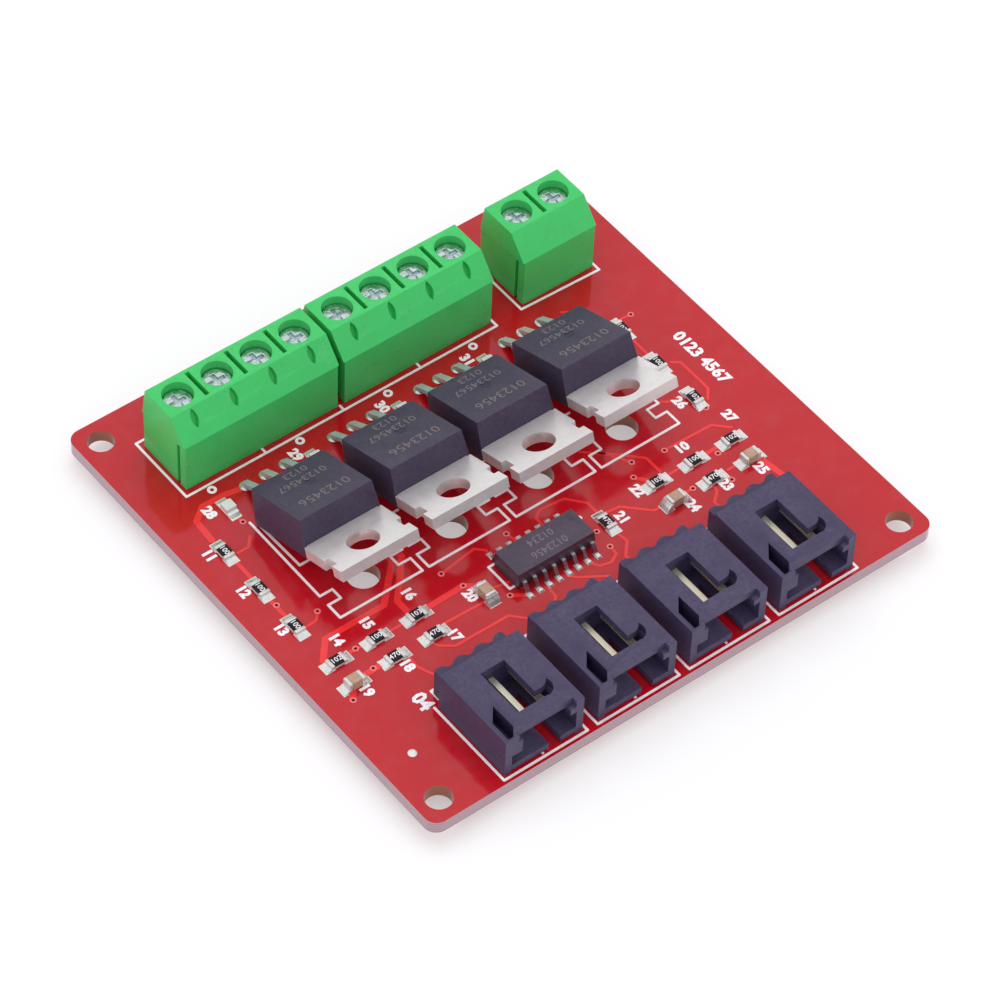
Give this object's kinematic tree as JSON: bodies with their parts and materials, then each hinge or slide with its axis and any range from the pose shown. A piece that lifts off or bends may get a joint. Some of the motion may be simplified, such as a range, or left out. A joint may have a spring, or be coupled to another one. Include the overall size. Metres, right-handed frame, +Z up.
{
  "type": "four-channel transistor switch board",
  "caption": "Square circuit board with screw terminal blocks along one edge, leaning power transistors, an optical isolator chip and locking signal headers.",
  "frame": {"origin": "centre of the four mounting holes, on the underside of the board", "axes": "+X along the header edge, +Y from the headers to the terminal blocks, +Z up through the board"},
  "size_m": [0.066, 0.0638, 0.0124],
  "materials": {
    "board": "red solder mask over glass fibre board",
    "green_housing": "green moulded plastic, slightly glossy",
    "black_housing": "black moulded plastic",
    "transistor_moulding": "dark grey moulding compound",
    "isolator_moulding": "dark grey moulding compound",
    "transistor_metal": "plated copper, satin",
    "tinned_contact": "tinned",
    "screw_steel": "zinc plated",
    "clamp_steel": "zinc plated",
    "header_pin": "pale brass, tinned at the tails",
    "resistor_ceramic": "black film over ceramic",
    "capacitor_ceramic": "tan ceramic",
    "indicator_base": "white laminate",
    "clear_lens": "clear resin",
    "solder": "bright solder"
  },
  "bodies": {
    "board_assembly": {"circuit_board": "board", "terminal_block_left": "green_housing", "contact_pins_left": "tinned_contact", "terminal_block_right": "green_housing", "contact_pins_right": "tinned_contact", "terminal_block_supply": "green_housing", "contact_pins_supply": "tinned_contact", "transistor_body_1": "transistor_moulding", "transistor_tab_1": "transistor_metal", "transistor_leads_1": "tinned_contact", "header_housing_1": "black_housing", "header_pins_1": "header_pin", "transistor_body_2": "transistor_moulding", "transistor_tab_2": "transistor_metal", "transistor_leads_2": "tinned_contact", "header_housing_2": "black_housing", "header_pins_2": "header_pin", "transistor_body_3": "transistor_moulding", "transistor_tab_3": "transistor_metal", "transistor_leads_3": "tinned_contact", "header_housing_3": "black_housing", "header_pins_3": "header_pin", "transistor_body_4": "transistor_moulding", "transistor_tab_4": "transistor_metal", "transistor_leads_4": "tinned_contact", "header_housing_4": "black_housing", "header_pins_4": "header_pin", "isolator_body": "isolator_moulding", "isolator_leads": "tinned_contact", "resistor_bodies": "resistor_ceramic", "resistor_caps": "solder", "capacitor_bodies": "capacitor_ceramic", "capacitor_caps": "solder", "indicator_bases": "indicator_base", "indicator_lenses": "clear_lens", "solder_joints": "solder"},
    "screw_1": {"clamp_screw_1": "screw_steel"},
    "clamp_1": {"wire_clamp_1": "clamp_steel"},
    "screw_2": {"clamp_screw_2": "screw_steel"},
    "clamp_2": {"wire_clamp_2": "clamp_steel"},
    "screw_3": {"clamp_screw_3": "screw_steel"},
    "clamp_3": {"wire_clamp_3": "clamp_steel"},
    "screw_4": {"clamp_screw_4": "screw_steel"},
    "clamp_4": {"wire_clamp_4": "clamp_steel"},
    "screw_5": {"clamp_screw_5": "screw_steel"},
    "clamp_5": {"wire_clamp_5": "clamp_steel"},
    "screw_6": {"clamp_screw_6": "screw_steel"},
    "clamp_6": {"wire_clamp_6": "clamp_steel"},
    "screw_7": {"clamp_screw_7": "screw_steel"},
    "clamp_7": {"wire_clamp_7": "clamp_steel"},
    "screw_8": {"clamp_screw_8": "screw_steel"},
    "clamp_8": {"wire_clamp_8": "clamp_steel"},
    "screw_9": {"clamp_screw_9": "screw_steel"},
    "clamp_9": {"wire_clamp_9": "clamp_steel"},
    "screw_10": {"clamp_screw_10": "screw_steel"},
    "clamp_10": {"wire_clamp_10": "clamp_steel"}
  },
  "joints": [
    {"name": "screw_1_turn", "type": "hinge", "parent": "board_assembly", "child": "screw_1", "pos_m": [-0.02465, 0.02295, 0.0093], "axis": [0, 0, -1], "range_deg": [0, 1440]},
    {"name": "clamp_1_lift", "type": "slide", "parent": "board_assembly", "child": "clamp_1", "axis": [0, 0, 1], "range_m": [0, 0.0018]},
    {"name": "screw_2_turn", "type": "hinge", "parent": "board_assembly", "child": "screw_2", "pos_m": [-0.01965, 0.02295, 0.0093], "axis": [0, 0, -1], "range_deg": [0, 1440]},
    {"name": "clamp_2_lift", "type": "slide", "parent": "board_assembly", "child": "clamp_2", "axis": [0, 0, 1], "range_m": [0, 0.0018]},
    {"name": "screw_3_turn", "type": "hinge", "parent": "board_assembly", "child": "screw_3", "pos_m": [-0.01465, 0.02295, 0.0093], "axis": [0, 0, -1], "range_deg": [0, 1440]},
    {"name": "clamp_3_lift", "type": "slide", "parent": "board_assembly", "child": "clamp_3", "axis": [0, 0, 1], "range_m": [0, 0.0018]},
    {"name": "screw_4_turn", "type": "hinge", "parent": "board_assembly", "child": "screw_4", "pos_m": [-0.00965, 0.02295, 0.0093], "axis": [0, 0, -1], "range_deg": [0, 1440]},
    {"name": "clamp_4_lift", "type": "slide", "parent": "board_assembly", "child": "clamp_4", "axis": [0, 0, 1], "range_m": [0, 0.0018]},
    {"name": "screw_5_turn", "type": "hinge", "parent": "board_assembly", "child": "screw_5", "pos_m": [-0.00407, 0.02295, 0.0093], "axis": [0, 0, -1], "range_deg": [0, 1440]},
    {"name": "clamp_5_lift", "type": "slide", "parent": "board_assembly", "child": "clamp_5", "axis": [0, 0, 1], "range_m": [0, 0.0018]},
    {"name": "screw_6_turn", "type": "hinge", "parent": "board_assembly", "child": "screw_6", "pos_m": [0.00093, 0.02295, 0.0093], "axis": [0, 0, -1], "range_deg": [0, 1440]},
    {"name": "clamp_6_lift", "type": "slide", "parent": "board_assembly", "child": "clamp_6", "axis": [0, 0, 1], "range_m": [0, 0.0018]},
    {"name": "screw_7_turn", "type": "hinge", "parent": "board_assembly", "child": "screw_7", "pos_m": [0.00593, 0.02295, 0.0093], "axis": [0, 0, -1], "range_deg": [0, 1440]},
    {"name": "clamp_7_lift", "type": "slide", "parent": "board_assembly", "child": "clamp_7", "axis": [0, 0, 1], "range_m": [0, 0.0018]},
    {"name": "screw_8_turn", "type": "hinge", "parent": "board_assembly", "child": "screw_8", "pos_m": [0.01093, 0.02295, 0.0093], "axis": [0, 0, -1], "range_deg": [0, 1440]},
    {"name": "clamp_8_lift", "type": "slide", "parent": "board_assembly", "child": "clamp_8", "axis": [0, 0, 1], "range_m": [0, 0.0018]},
    {"name": "screw_9_turn", "type": "hinge", "parent": "board_assembly", "child": "screw_9", "pos_m": [0.01998, 0.02295, 0.0093], "axis": [0, 0, -1], "range_deg": [0, 1440]},
    {"name": "clamp_9_lift", "type": "slide", "parent": "board_assembly", "child": "clamp_9", "axis": [0, 0, 1], "range_m": [0, 0.0018]},
    {"name": "screw_10_turn", "type": "hinge", "parent": "board_assembly", "child": "screw_10", "pos_m": [0.02498, 0.02295, 0.0093], "axis": [0, 0, -1], "range_deg": [0, 1440]},
    {"name": "clamp_10_lift", "type": "slide", "parent": "board_assembly", "child": "clamp_10", "axis": [0, 0, 1], "range_m": [0, 0.0018]}
  ],
  "couplings": [
    {"joint": "screw_1_turn", "follows": "clamp_1_lift", "rad_per_m": 13963},
    {"joint": "screw_2_turn", "follows": "clamp_2_lift", "rad_per_m": 13963},
    {"joint": "screw_3_turn", "follows": "clamp_3_lift", "rad_per_m": 13963},
    {"joint": "screw_4_turn", "follows": "clamp_4_lift", "rad_per_m": 13963},
    {"joint": "screw_5_turn", "follows": "clamp_5_lift", "rad_per_m": 13963},
    {"joint": "screw_6_turn", "follows": "clamp_6_lift", "rad_per_m": 13963},
    {"joint": "screw_7_turn", "follows": "clamp_7_lift", "rad_per_m": 13963},
    {"joint": "screw_8_turn", "follows": "clamp_8_lift", "rad_per_m": 13963},
    {"joint": "screw_9_turn", "follows": "clamp_9_lift", "rad_per_m": 13963},
    {"joint": "screw_10_turn", "follows": "clamp_10_lift", "rad_per_m": 13963}
  ]
}
